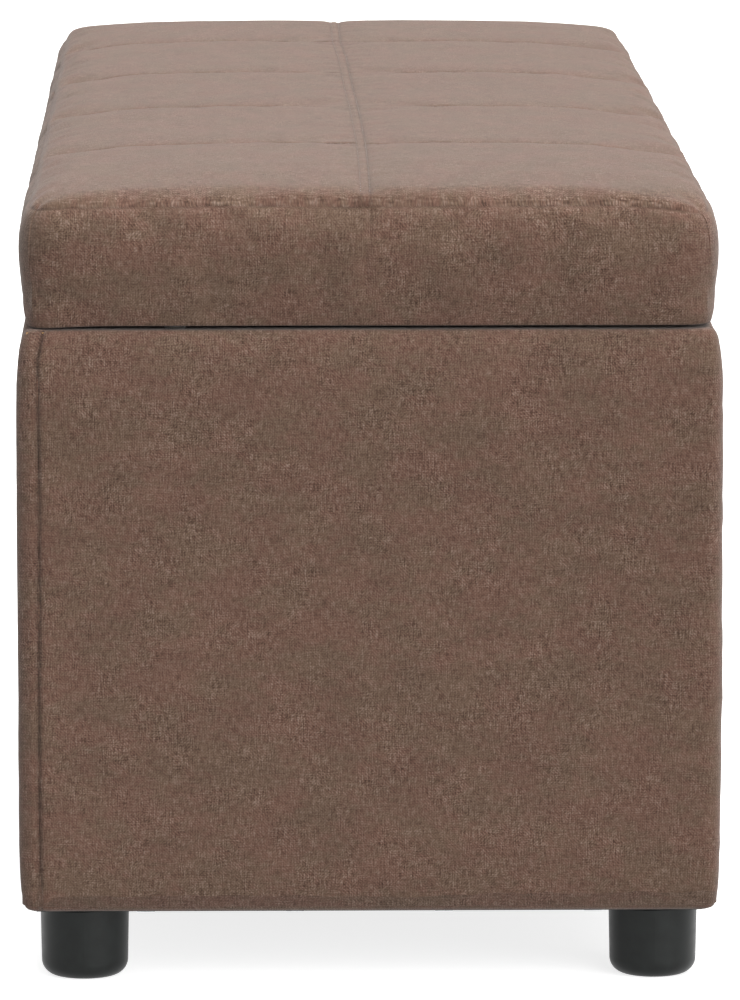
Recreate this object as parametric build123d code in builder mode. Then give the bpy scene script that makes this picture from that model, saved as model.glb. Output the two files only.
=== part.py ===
from build123d import *
import math
import os

# Upholstered storage bench: a panel box on four plastic feet, covered in woven fabric over wadding,
# with a foam seat that is also the lid. The lid turns on three butt hinges along the back and is
# carried by two gas struts. Millimetres, +Z up, X along the bench, -Y the front, and the origin on
# the floor under the middle of the bench.

os.makedirs("parts", exist_ok=True)

# ---- overall sizes ----
bench_length = 1160.0  # over the base cover
bench_width = 400.0  # over the base cover
bench_height = 460.0  # floor to the crown of the seat
base_top = 375.5  # floor to the covered rim of the box
foot_height = 41.0  # floor to the underside of the box
lid_step = 1.5  # from the base cover's widest line to the lid's, all round
lid_gap = 1.5  # between the covered rim and the underside of the lid

# ---- cloth and padding ----
cover_t = 1.2
base_wadding_t = 4.8
base_corner_r = 8.0
base_shoulder_r = 5.0
base_hem_r = 4.0  # rounding where the cover turns under the box
base_turn_under = 30.0  # width of the cover that is stapled under the box
lid_turn_under = 62.0  # width of the cover that is stapled under the lid board
rim_hem = 30.0  # height of the cover that is turned down inside the rim
lining_t = 0.8
dust_t = 0.8
dust_inset = 10.0
underlining_t = 0.6
underlining_inset = 8.0

# ---- box ----
panel_t = 16.0
floor_t = 9.0
floor_play = 0.5  # between the floor panel and the walls
rail_size = 25.0
block_size = 56.0
panel_screw_r = 2.5
panel_screw_head_r = 4.0
panel_screw_length = 50.0
panel_screw_rows = 3
panel_screw_margin = 45.0  # from the panel's top and bottom edges
floor_screw_r = 1.75
floor_screw_length = 25.0
floor_screw_margin = 60.0

# ---- feet ----
foot_top_r = 25.4
foot_bottom_r = 24.6
foot_edge_r = 9.0
foot_rim_r = 1.0
foot_centre_inset = 37.0  # from the covered faces to the centre of each foot
stud_r = 4.0
stud_in_foot = 22.0
stud_above = 24.0
tee_play = 0.05  # between the stud and the tee nut's thread
tee_wall = 0.9
tee_flange_r = 9.5
tee_flange_t = 1.5
tee_length = 16.0
dust_hole_r = 5.0

# ---- lid ----
lid_board_t = 15.0
lid_board_inset = 8.0  # from the lid cover's widest line to the edge of the board
lid_board_corner_r = 16.0
lid_corner_r = 14.0
lid_edge_r = 16.0
lid_hem_r = 3.0
lid_wadding_t = 15.0
lid_screw_length = 13.0

# ---- hinges ----
hinge_count = 3
hinge_from_end = 180.0  # from the end of the bench to the middle of the last hinge
hinge_length = 70.0
leaf_width = 17.5  # from the pin's centre
leaf_t = 1.5
knuckle_r = 3.5
pin_r = 1.75
pin_head_r = 2.6
pin_head_t = 1.2
pin_play = 0.05
knuckle_gap = 0.4
knuckles = 5
pin_setback = 3.7  # from the base cover's back face to the pin's centre
hinge_notch_play = 1.5
mortise_play = 0.2
hinge_screws = 3
hinge_screw_pitch = 24.0
screw_r = 1.75
screw_head_r = 3.0
base_screw_length = 28.0
recess_width = 0.8
recess_depth = 0.7

# ---- gas struts ----
strut_reach = 215.0  # from the hinge pin to either ball, the same for both ends
strut_closed_angle = 72.0  # between the two balls, seen from the hinge pin, with the lid shut
strut_drop = 14.0  # from the pin's centre down to the ball under the lid
lid_open_angle = 90.0
ball_r = 5.0
ball_play = 0.06
ball_neck_r = 3.0
ball_offset = 12.0  # from the base bracket's face to the centre of the ball
socket_r = 7.5
socket_half_t = 6.0
socket_mouth_r = 4.4
socket_neck_r = 5.0
socket_neck_end = 22.0  # from the centre of the ball
socket_thread = 10.0
tube_r = 7.5
tube_wall = 1.0
tube_stub_r = 3.0
rod_r = 3.0
rod_play = 0.05
rod_shut_show = 4.0  # bare rod left outside the tube with the lid shut
piston_t = 8.0
piston_play = 0.05
piston_stop = 2.0  # left between the piston and the bottom of the tube with the lid shut
gland_t = 14.0
gland_lip = 1.5
bracket_t = 2.5
bracket_width = 32.0
bracket_height = 56.0
bracket_corner_r = 5.0
bracket_screw_y = 9.0
bracket_screw_z = 20.0
bracket_screw_length = 14.0
tab_width = 20.0
tab_clearance = 2.5  # from the lid bracket's tab to the lining
flange_length = 54.0
flange_depth = 26.0
flange_screw_pitch = 34.0
flange_screw_in = 13.0  # from the tab to the line of the flange screws

# ---- felt pads between the lid and the rim ----
pad_r = 6.0
pad_play = 0.3  # left between the pads and the rim
pad_from_end = 200.0  # from the end of the bench to the long sides' pads
pad_from_side = 90.0  # from the long side of the bench to the ends' pads

# ---- staples ----
staple_width = 10.0
staple_wire = 0.8
staple_leg = 7.0
staple_spacing = 96.0
staple_inset = 14.0  # from the covered face to the line of the staples
lid_staple_inset = 21.0
lid_staple_corner = 40.0  # from the lid's edge to its first staple

# ---- levels and faces that follow from the sizes above ----
cover_bottom = foot_height + dust_t
panel_bottom = cover_bottom + cover_t
panel_top = base_top - cover_t
frame_length = bench_length - 2 * (cover_t + base_wadding_t)
frame_width = bench_width - 2 * (cover_t + base_wadding_t)
inner_length = frame_length - 2 * panel_t
inner_width = frame_width - 2 * panel_t
block_top = panel_bottom + rail_size
floor_top = block_top + floor_t
lining_face = inner_length / 2 - lining_t  # inner face of the lining at the ends
lid_length = bench_length - 2 * lid_step
lid_width = bench_width - 2 * lid_step
lid_bottom = base_top + lid_gap
board_bottom = lid_bottom + underlining_t + cover_t
board_top = board_bottom + lid_board_t
board_length = lid_length - 2 * lid_board_inset
board_width = lid_width - 2 * lid_board_inset
seat_top = bench_height - cover_t
foam_top = seat_top - lid_wadding_t
pin_y = bench_width / 2 - pin_setback
pin_z = base_top + lid_gap / 2
foot_x = bench_length / 2 - foot_centre_inset
foot_y = bench_width / 2 - foot_centre_inset
hinge_spacing = (bench_length - 2 * hinge_from_end) / (hinge_count - 1)
hinge_xs = [(i - (hinge_count - 1) / 2) * hinge_spacing for i in range(hinge_count)]
leaf_screw_y = pin_y - (leaf_width + knuckle_r + knuckle_gap) / 2
leaf_face = knuckle_r - leaf_t  # from the pin's centre to the face of either leaf

# The two balls stand at the same distance from the pin, so the line through them turns by exactly
# half of the lid's angle and the rod stays in line with the tube at every opening.
lid_ball_angle = math.asin(strut_drop / strut_reach)
base_ball_angle = lid_ball_angle + math.radians(strut_closed_angle)
lid_ball_y = pin_y - strut_reach * math.cos(lid_ball_angle)
lid_ball_z = pin_z - strut_drop
base_ball_y = pin_y - strut_reach * math.cos(base_ball_angle)
base_ball_z = pin_z - strut_reach * math.sin(base_ball_angle)
strut_shut = 2 * strut_reach * math.sin(math.radians(strut_closed_angle) / 2)
strut_open = 2 * strut_reach * math.sin(math.radians(strut_closed_angle + lid_open_angle) / 2)
ball_x = lining_face - bracket_t - ball_offset
tube_length = strut_shut - 2 * socket_neck_end - rod_shut_show
tab_inner_x = ball_x + ball_offset - tab_clearance

ends = {"left": -1, "right": 1}
sides = {"front": -1, "back": 1}
corners = [(f"{s}_{e}", ends[e], sides[s]) for s in sides for e in ends]
screw_corners = [
    (ends[e] * (inner_length / 2 + panel_t / 2), sides[s]) for e in ends for s in sides
]
panel_screw_zs = [
    panel_bottom
    + panel_screw_margin
    + i * (panel_top - panel_bottom - 2 * panel_screw_margin) / (panel_screw_rows - 1)
    for i in range(panel_screw_rows)
]
floor_screw_reach = inner_length / 2 - block_size - floor_screw_margin
floor_screw_xs = [-floor_screw_reach, 0.0, floor_screw_reach]
floor_screw_y = inner_width / 2 - rail_size / 2


def save(piece, name):
    """Labels a finished piece and writes it as parts/NAME.step."""
    piece.part.label = name
    export_step(piece.part, f"parts/{name}.step")


def block(length, width, low, high, x=0.0, y=0.0):
    """A plain box between two levels."""
    with BuildPart() as solid:
        with BuildSketch(Plane.XY.offset(low)):
            with Locations((x, y)):
                Rectangle(length, width)
        extrude(amount=high - low)
    return solid.part


def soft_box(length, width, low, high, corner_r, top_r, bottom_r):
    """A rounded upright box with its top and bottom edges rounded as well."""
    with BuildPart() as solid:
        with BuildSketch(Plane.XY.offset(low)):
            RectangleRounded(length, width, corner_r)
        extrude(amount=high - low)
        fillet(solid.faces().sort_by(Axis.Z)[-1].edges(), top_r)
        if bottom_r:
            fillet(solid.faces().sort_by(Axis.Z)[0].edges(), bottom_r)
    return solid.part


def hinge_notches(low, high):
    """The blocks cut from cloth and padding round the hinges, from the wall's inner face out."""
    inner = inner_width / 2
    outer = bench_width / 2 + knuckle_r
    length = hinge_length + 2 * (pin_head_t + hinge_notch_play)
    return [
        block(length, outer - inner, low, high, x, (inner + outer) / 2) for x in hinge_xs
    ]


def screw_shape(plane, length, shank_r, head_r):
    """A countersunk screw. The plane lies on its head, with z pointing out of the head."""
    head_h = head_r - shank_r
    with BuildPart(plane) as screw:
        with Locations((0, 0, -head_h / 2)):
            Cone(shank_r, head_r, head_h)
        with Locations((0, 0, -(head_h + length) / 2)):
            Cylinder(shank_r, length - head_h)
    return screw.part


def save_screws(planes, name, length, shank_r, head_r):
    """Writes identical cross-recessed screws as one node of separate solids."""
    with BuildPart() as screws:
        for plane in planes:
            add(screw_shape(plane, length, shank_r, head_r))
        for plane in planes:
            with Locations(plane * Location((0, 0, -recess_depth / 2))):
                Box(1.3 * head_r, recess_width, recess_depth, mode=Mode.SUBTRACT)
                Box(recess_width, 1.3 * head_r, recess_depth, mode=Mode.SUBTRACT)
    save(screws, name)


def staple_shape(x, y, level, along_x):
    """A staple driven upwards, with its crown under the given level."""
    half = (staple_width - staple_wire) / 2
    with BuildPart(Location((x, y, level), (0, 0, 0 if along_x else 90))) as staple:
        with Locations((0, 0, -staple_wire / 2)):
            Box(staple_width, staple_wire, staple_wire)
        with Locations((-half, 0, staple_leg / 2), (half, 0, staple_leg / 2)):
            Box(staple_wire, staple_wire, staple_leg)
    return staple.part


def spread(reach):
    """Evenly spaced places from -reach to reach, close to one staple spacing apart."""
    count = max(2, round(2 * reach / staple_spacing) + 1)
    return [-reach + i * 2 * reach / (count - 1) for i in range(count)]


# ---- where the fasteners go: each plane lies on a screw's head, with z out of the head ----
panel_screw_planes = [
    Plane(origin=(x, side * frame_width / 2, z), z_dir=(0, side, 0))
    for x, side in screw_corners
    for z in panel_screw_zs
]
floor_screw_planes = [
    Plane(origin=(x, side * floor_screw_y, floor_top), z_dir=(0, 0, 1))
    for x in floor_screw_xs
    for side in sides.values()
]
leaf_screw_xs = [
    x + (i - (hinge_screws - 1) / 2) * hinge_screw_pitch
    for x in hinge_xs
    for i in range(hinge_screws)
]
base_leaf_planes = [
    Plane(origin=(x, leaf_screw_y, pin_z - leaf_face), z_dir=(0, 0, 1)) for x in leaf_screw_xs
]
lid_leaf_planes = [
    Plane(origin=(x, leaf_screw_y, pin_z + leaf_face), z_dir=(0, 0, -1)) for x in leaf_screw_xs
]
base_bracket_planes = [
    Plane(
        origin=(end * (lining_face - bracket_t), base_ball_y + dy, base_ball_z + dz),
        z_dir=(-end, 0, 0),
    )
    for end in ends.values()
    for dy in (-bracket_screw_y, bracket_screw_y)
    for dz in (-bracket_screw_z, bracket_screw_z)
]
lid_bracket_planes = [
    Plane(
        origin=(end * (tab_inner_x - flange_screw_in), lid_ball_y + dy, lid_bottom - bracket_t),
        z_dir=(0, 0, -1),
    )
    for end in ends.values()
    for dy in (-flange_screw_pitch / 2, flange_screw_pitch / 2)
]


def staples_round(length, width, inset, corner_clear, level):
    """Staples in a line all round, inset from the edges and clear of the corners of a panel."""
    reach_x = length / 2 - inset
    reach_y = width / 2 - inset
    along_x = spread(length / 2 - corner_clear)
    along_y = spread(width / 2 - corner_clear)
    return [
        *[staple_shape(x, side * reach_y, level, True) for x in along_x for side in (-1, 1)],
        *[staple_shape(end * reach_x, y, level, False) for y in along_y for end in (-1, 1)],
    ]


foot_clear = foot_centre_inset + foot_top_r + staple_width
base_staples = staples_round(bench_length, bench_width, staple_inset, foot_clear, foot_height)
lid_staples = staples_round(
    lid_length, lid_width, lid_staple_inset, lid_staple_corner, lid_bottom
)
panel_screw_solids = [
    screw_shape(p, panel_screw_length, panel_screw_r, panel_screw_head_r)
    for p in panel_screw_planes
]
floor_screw_solids = [
    screw_shape(p, floor_screw_length, floor_screw_r, screw_head_r) for p in floor_screw_planes
]
base_leaf_screw_solids = [
    screw_shape(p, base_screw_length, screw_r, screw_head_r) for p in base_leaf_planes
]
lid_leaf_screw_solids = [
    screw_shape(p, lid_screw_length, screw_r, screw_head_r) for p in lid_leaf_planes
]
base_bracket_screw_solids = [
    screw_shape(p, bracket_screw_length, screw_r, screw_head_r) for p in base_bracket_planes
]
lid_bracket_screw_solids = [
    screw_shape(p, bracket_screw_length, screw_r, screw_head_r) for p in lid_bracket_planes
]

# ---- walls of the box ----
for name, side in sides.items():
    with BuildPart() as panel:
        with BuildSketch(Plane.XY.offset(panel_bottom)):
            with Locations((0, side * (frame_width - panel_t) / 2)):
                Rectangle(frame_length, panel_t)
        extrude(amount=panel_top - panel_bottom)
        if name == "back":
            mortise_y = pin_y - leaf_width - mortise_play
            mortise_width = frame_width / 2 - mortise_y
            with BuildSketch(Plane.XY.offset(panel_top)):
                with Locations(*[(x, mortise_y + mortise_width / 2) for x in hinge_xs]):
                    Rectangle(hinge_length + 2 * mortise_play, mortise_width)
            extrude(amount=pin_z - knuckle_r - panel_top, mode=Mode.SUBTRACT)
            add(base_leaf_screw_solids, mode=Mode.SUBTRACT)
        add(panel_screw_solids, mode=Mode.SUBTRACT)
        add(base_staples, mode=Mode.SUBTRACT)
    save(panel, f"{name}_panel")

for name, end in ends.items():
    with BuildPart() as panel:
        with BuildSketch(Plane.XY.offset(panel_bottom)):
            with Locations((end * (frame_length - panel_t) / 2, 0)):
                Rectangle(panel_t, inner_width)
        extrude(amount=panel_top - panel_bottom)
        add(panel_screw_solids, mode=Mode.SUBTRACT)
        add(base_bracket_screw_solids, mode=Mode.SUBTRACT)
        add(base_staples, mode=Mode.SUBTRACT)
    save(panel, f"{name}_end_panel")
save_screws(
    panel_screw_planes, "panel_screws", panel_screw_length, panel_screw_r, panel_screw_head_r
)

# ---- compartment floor, the rails under it and the blocks that take the feet ----
with BuildPart() as floor_panel:
    with BuildSketch(Plane.XY.offset(block_top)):
        Rectangle(inner_length - 2 * floor_play, inner_width - 2 * floor_play)
    extrude(amount=floor_t)
    add(floor_screw_solids, mode=Mode.SUBTRACT)
save(floor_panel, "floor_panel")

for name, side in sides.items():
    with BuildPart() as rail:
        with BuildSketch(Plane.XY.offset(panel_bottom)):
            with Locations((0, side * (inner_width - rail_size) / 2)):
                Rectangle(inner_length - 2 * block_size, rail_size)
        extrude(amount=rail_size)
        add(floor_screw_solids, mode=Mode.SUBTRACT)
    save(rail, f"floor_rail_{name}")

with BuildPart() as cross_rail:
    with BuildSketch(Plane.XY.offset(panel_bottom)):
        Rectangle(rail_size, inner_width - 2 * rail_size)
    extrude(amount=rail_size)
save(cross_rail, "floor_cross_rail")

for name, end, side in corners:
    block_x = end * (inner_length - block_size) / 2
    block_y = side * (inner_width - block_size) / 2
    with BuildPart() as corner_block:
        with BuildSketch(Plane.XY.offset(panel_bottom)):
            with Locations((block_x, block_y)):
                Rectangle(block_size, block_size)
        extrude(amount=rail_size)
        with Locations((end * foot_x, side * foot_y, block_top)):
            CounterBoreHole(stud_r + tee_play + tee_wall, tee_flange_r, tee_flange_t)
    save(corner_block, f"corner_block_{name}")
save_screws(floor_screw_planes, "floor_screws", floor_screw_length, floor_screw_r, screw_head_r)

# ---- moulded feet, and the studs and tee nuts that hold them ----
foot_places = [(end * foot_x, side * foot_y) for _, end, side in corners]
for (name, _, _), place in zip(corners, foot_places):
    with BuildPart() as foot:
        with BuildSketch(Plane.XY):
            with Locations(place):
                Circle(foot_bottom_r)
        with BuildSketch(Plane.XY.offset(foot_height)):
            with Locations(place):
                Circle(foot_top_r)
        loft()
        fillet(foot.faces().sort_by(Axis.Z)[0].edges(), foot_edge_r)
        fillet(foot.faces().sort_by(Axis.Z)[-1].edges(), foot_rim_r)
        with BuildSketch(Plane.XY.offset(foot_height)):
            with Locations(place):
                Circle(stud_r)
        extrude(amount=-stud_in_foot, mode=Mode.SUBTRACT)
    save(foot, f"foot_{name}")

with BuildPart() as studs:
    with BuildSketch(Plane.XY.offset(foot_height - stud_in_foot)):
        with Locations(*foot_places):
            Circle(stud_r)
    extrude(amount=stud_in_foot + stud_above)
save(studs, "foot_studs")

with BuildPart() as tee_nuts:
    with BuildSketch(Plane.XY.offset(block_top - tee_length)):
        with Locations(*foot_places):
            Circle(stud_r + tee_play + tee_wall)
    extrude(amount=tee_length)
    with BuildSketch(Plane.XY.offset(block_top - tee_flange_t)):
        with Locations(*foot_places):
            Circle(tee_flange_r)
    extrude(amount=tee_flange_t)
    with BuildSketch(Plane.XY.offset(block_top - tee_length)):
        with Locations(*foot_places):
            Circle(stud_r + tee_play)
    extrude(amount=tee_length, mode=Mode.SUBTRACT)
save(tee_nuts, "foot_tee_nuts")

# ---- wadding, fabric cover, compartment lining and dust cover of the box ----
notch_low = pin_z - knuckle_r - pin_head_t
base_notches = hinge_notches(notch_low, base_top)
inside_cover = soft_box(
    bench_length - 2 * cover_t,
    bench_width - 2 * cover_t,
    panel_bottom,
    panel_top,
    base_corner_r - cover_t,
    base_shoulder_r - cover_t,
    base_hem_r - cover_t,
)
with BuildPart() as base_wadding:
    add(inside_cover)
    add(block(frame_length, frame_width, panel_bottom, panel_top), mode=Mode.SUBTRACT)
    add(base_notches, mode=Mode.SUBTRACT)
save(base_wadding, "base_wadding")

with BuildPart() as base_cover:
    add(
        soft_box(
            bench_length,
            bench_width,
            cover_bottom,
            base_top,
            base_corner_r,
            base_shoulder_r,
            base_hem_r,
        )
    )
    add(inside_cover, mode=Mode.SUBTRACT)
    add(block(inner_length, inner_width, base_top - rim_hem, base_top))
    add(
        block(
            inner_length - 2 * cover_t, inner_width - 2 * cover_t, base_top - rim_hem, base_top
        ),
        mode=Mode.SUBTRACT,
    )
    add(
        block(
            bench_length - 2 * base_turn_under,
            bench_width - 2 * base_turn_under,
            cover_bottom,
            panel_bottom,
        ),
        mode=Mode.SUBTRACT,
    )
    add(base_notches, mode=Mode.SUBTRACT)
    add(base_staples, mode=Mode.SUBTRACT)
save(base_cover, "base_cover")

with BuildPart() as lining:
    with BuildSketch(Plane.XY.offset(floor_top)):
        Rectangle(inner_length, inner_width)
    extrude(amount=base_top - rim_hem - floor_top)
    with BuildSketch(Plane.XY.offset(floor_top + lining_t)):
        Rectangle(2 * lining_face, inner_width - 2 * lining_t)
    extrude(amount=base_top - rim_hem - floor_top, mode=Mode.SUBTRACT)
    add(base_bracket_screw_solids, mode=Mode.SUBTRACT)
save(lining, "compartment_lining")

with BuildPart() as dust_cover:
    with BuildSketch(Plane.XY.offset(foot_height)):
        RectangleRounded(
            bench_length - 2 * dust_inset, bench_width - 2 * dust_inset, base_corner_r
        )
        with Locations(*foot_places):
            Circle(dust_hole_r, mode=Mode.SUBTRACT)
    extrude(amount=dust_t)
    add(base_staples, mode=Mode.SUBTRACT)
save(dust_cover, "dust_cover")

with BuildPart() as base_staple_solids:
    add(base_staples)
save(base_staple_solids, "base_staples")

# ---- lid board, foam, wadding, fabric cover and the cloth under the lid ----
with BuildPart() as lid_board:
    with BuildSketch(Plane.XY.offset(board_bottom)):
        RectangleRounded(board_length, board_width, lid_board_corner_r)
    extrude(amount=lid_board_t)
    lid_mortise_y = pin_y - leaf_width - mortise_play
    lid_mortise_width = board_width / 2 - lid_mortise_y
    with BuildSketch(Plane.XY.offset(board_bottom)):
        with Locations(*[(x, lid_mortise_y + lid_mortise_width / 2) for x in hinge_xs]):
            Rectangle(hinge_length + 2 * mortise_play, lid_mortise_width)
    extrude(amount=pin_z + knuckle_r - board_bottom, mode=Mode.SUBTRACT)
    add(lid_leaf_screw_solids, mode=Mode.SUBTRACT)
    add(lid_bracket_screw_solids, mode=Mode.SUBTRACT)
    add(lid_staples, mode=Mode.SUBTRACT)
save(lid_board, "lid_board")

with BuildPart() as lid_foam:
    with BuildSketch(Plane.XY.offset(board_top)):
        RectangleRounded(
            lid_length - 2 * cover_t, lid_width - 2 * cover_t, lid_corner_r - cover_t
        )
    extrude(amount=foam_top - board_top)
save(lid_foam, "lid_foam")

inside_lid_cover = soft_box(
    lid_length - 2 * cover_t,
    lid_width - 2 * cover_t,
    board_bottom,
    seat_top,
    lid_corner_r - cover_t,
    lid_edge_r - cover_t,
    lid_hem_r - cover_t,
)
with BuildPart() as lid_wadding:
    add(inside_lid_cover)
    add(block(lid_length, lid_width, board_bottom, foam_top), mode=Mode.SUBTRACT)
save(lid_wadding, "lid_wadding")

lid_notches = hinge_notches(lid_bottom, pin_z + knuckle_r + pin_head_t)
with BuildPart() as lid_cover:
    add(
        soft_box(
            lid_length,
            lid_width,
            lid_bottom + underlining_t,
            bench_height,
            lid_corner_r,
            lid_edge_r,
            lid_hem_r,
        )
    )
    add(inside_lid_cover, mode=Mode.SUBTRACT)
    add(
        block(
            lid_length - 2 * lid_turn_under,
            lid_width - 2 * lid_turn_under,
            lid_bottom + underlining_t,
            board_bottom,
        ),
        mode=Mode.SUBTRACT,
    )
    add(lid_notches, mode=Mode.SUBTRACT)
    add(lid_bracket_screw_solids, mode=Mode.SUBTRACT)
    add(lid_staples, mode=Mode.SUBTRACT)
save(lid_cover, "lid_cover")

with BuildPart() as underlining:
    with BuildSketch(Plane.XY.offset(lid_bottom)):
        RectangleRounded(
            board_length - 2 * underlining_inset,
            board_width - 2 * underlining_inset,
            lid_board_corner_r,
        )
    extrude(amount=underlining_t)
    add(lid_notches, mode=Mode.SUBTRACT)
    add(lid_bracket_screw_solids, mode=Mode.SUBTRACT)
    add(lid_staples, mode=Mode.SUBTRACT)
save(underlining, "lid_underlining")

with BuildPart() as lid_staple_solids:
    add(lid_staples)
save(lid_staple_solids, "lid_staples")

rim_y = (inner_width / 2 - cover_t + bench_width / 2 - base_shoulder_r) / 2
rim_x = (inner_length / 2 - cover_t + bench_length / 2 - base_shoulder_r) / 2
pad_x = bench_length / 2 - pad_from_end
pad_y = bench_width / 2 - pad_from_side
with BuildPart() as felt_pads:
    with BuildSketch(Plane.XY.offset(lid_bottom)):
        with Locations(
            (-pad_x, -rim_y),
            (pad_x, -rim_y),
            (-rim_x, -pad_y),
            (rim_x, -pad_y),
        ):
            Circle(pad_r)
    extrude(amount=-(lid_gap - pad_play))
save(felt_pads, "felt_pads")

# ---- butt hinges with their pins and screws ----
knuckle_pitch = (hinge_length + knuckle_gap) / knuckles
plate_edge = pin_y - knuckle_r - knuckle_gap
for name, x in zip(["left", "middle", "right"], hinge_xs):
    for owner, up in {"base": -1, "lid": 1}.items():
        plate_low = pin_z + leaf_face if up > 0 else pin_z - knuckle_r
        bore_r = pin_r + pin_play if up > 0 else pin_r
        with BuildPart() as leaf:
            with BuildSketch(Plane.XY.offset(plate_low)):
                with Locations((x, (pin_y - leaf_width + plate_edge) / 2)):
                    Rectangle(hinge_length, plate_edge - pin_y + leaf_width)
            extrude(amount=leaf_t)
            for i in range(0 if up < 0 else 1, knuckles, 2):
                with BuildSketch(Plane.YZ.offset(x - hinge_length / 2 + i * knuckle_pitch)):
                    with Locations((pin_y, pin_z)):
                        Circle(knuckle_r)
                    with Locations(((plate_edge + pin_y) / 2, plate_low + leaf_t / 2)):
                        Rectangle(pin_y - plate_edge, leaf_t)
                    with Locations((pin_y, pin_z)):
                        Circle(bore_r, mode=Mode.SUBTRACT)
                extrude(amount=knuckle_pitch - knuckle_gap)
            add(base_leaf_screw_solids if up < 0 else lid_leaf_screw_solids, mode=Mode.SUBTRACT)
        save(leaf, f"hinge_{owner}_leaf_{name}")

with BuildPart() as hinge_pins:
    for x in hinge_xs:
        with BuildSketch(Plane.YZ.offset(x - hinge_length / 2)):
            with Locations((pin_y, pin_z)):
                Circle(pin_r)
        extrude(amount=hinge_length)
        for head_x in (x - hinge_length / 2 - pin_head_t, x + hinge_length / 2):
            with BuildSketch(Plane.YZ.offset(head_x)):
                with Locations((pin_y, pin_z)):
                    Circle(pin_head_r)
            extrude(amount=pin_head_t)
save(hinge_pins, "hinge_pins")
save_screws(base_leaf_planes, "hinge_base_screws", base_screw_length, screw_r, screw_head_r)
save_screws(lid_leaf_planes, "hinge_lid_screws", lid_screw_length, screw_r, screw_head_r)

# ---- brackets with ball studs, on the end panels and under the lid ----
for name, end in ends.items():
    wall_plane = Plane(
        origin=(end * lining_face, base_ball_y, base_ball_z),
        x_dir=(0, 1, 0),
        z_dir=(-end, 0, 0),
    )
    with BuildPart() as base_bracket:
        with BuildSketch(wall_plane):
            RectangleRounded(bracket_width, bracket_height, bracket_corner_r)
        extrude(amount=bracket_t)
        with BuildSketch(wall_plane.offset(bracket_t)):
            Circle(ball_neck_r)
        extrude(amount=ball_offset)
        with Locations((end * ball_x, base_ball_y, base_ball_z)):
            Sphere(ball_r, rotation=(0, 0, 90))
        add(base_bracket_screw_solids, mode=Mode.SUBTRACT)
    save(base_bracket, f"strut_base_bracket_{name}")

    tab_plane = Plane(
        origin=(end * tab_inner_x, lid_ball_y, lid_ball_z), x_dir=(0, 1, 0), z_dir=(end, 0, 0)
    )
    with BuildPart() as lid_bracket:
        with BuildSketch(tab_plane):
            Circle(tab_width / 2)
            with Locations((0, end * (lid_bottom - lid_ball_z) / 2)):
                Rectangle(tab_width, lid_bottom - lid_ball_z)
        extrude(amount=bracket_t)
        with BuildSketch(Plane.XY.offset(lid_bottom)):
            with Locations((end * (tab_inner_x + bracket_t - flange_depth / 2), lid_ball_y)):
                Rectangle(flange_depth, flange_length)
        extrude(amount=-bracket_t)
        with BuildSketch(tab_plane):
            Circle(ball_neck_r)
        extrude(amount=ball_x - tab_inner_x)
        with Locations((end * ball_x, lid_ball_y, lid_ball_z)):
            Sphere(ball_r, rotation=(0, 0, 90))
        add(lid_bracket_screw_solids, mode=Mode.SUBTRACT)
    save(lid_bracket, f"strut_lid_bracket_{name}")
save_screws(
    base_bracket_planes, "strut_base_screws", bracket_screw_length, screw_r, screw_head_r
)
save_screws(lid_bracket_planes, "strut_lid_screws", bracket_screw_length, screw_r, screw_head_r)

# ---- gas struts, drawn along the line from the ball on the wall to the ball under the lid ----
strut_dir = (0, lid_ball_y - base_ball_y, lid_ball_z - base_ball_z)
tube_top = socket_neck_end + tube_length
bore_bottom = socket_neck_end + tube_wall
bore_r = tube_r - tube_wall
piston_low = bore_bottom + piston_stop


def socket(plane, far_end, mouth):
    """A moulded ball socket round the plane's origin, its neck running along the plane's z."""
    with BuildPart(plane) as piece:
        Cylinder(socket_r, 2 * socket_half_t, rotation=(0, 90, 0))
        with Locations((0, 0, far_end / 2)):
            Cylinder(socket_neck_r, abs(far_end))
        Sphere(ball_r + ball_play, rotation=(0, 0, 90), mode=Mode.SUBTRACT)
        with Locations((mouth * socket_half_t, 0, 0)):
            Cylinder(socket_mouth_r, socket_half_t, rotation=(0, 90, 0), mode=Mode.SUBTRACT)
        thread_middle = far_end - math.copysign(socket_thread / 2, far_end)
        with Locations((0, 0, thread_middle)):
            Cylinder(tube_stub_r, socket_thread, mode=Mode.SUBTRACT)
    return piece.part


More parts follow.
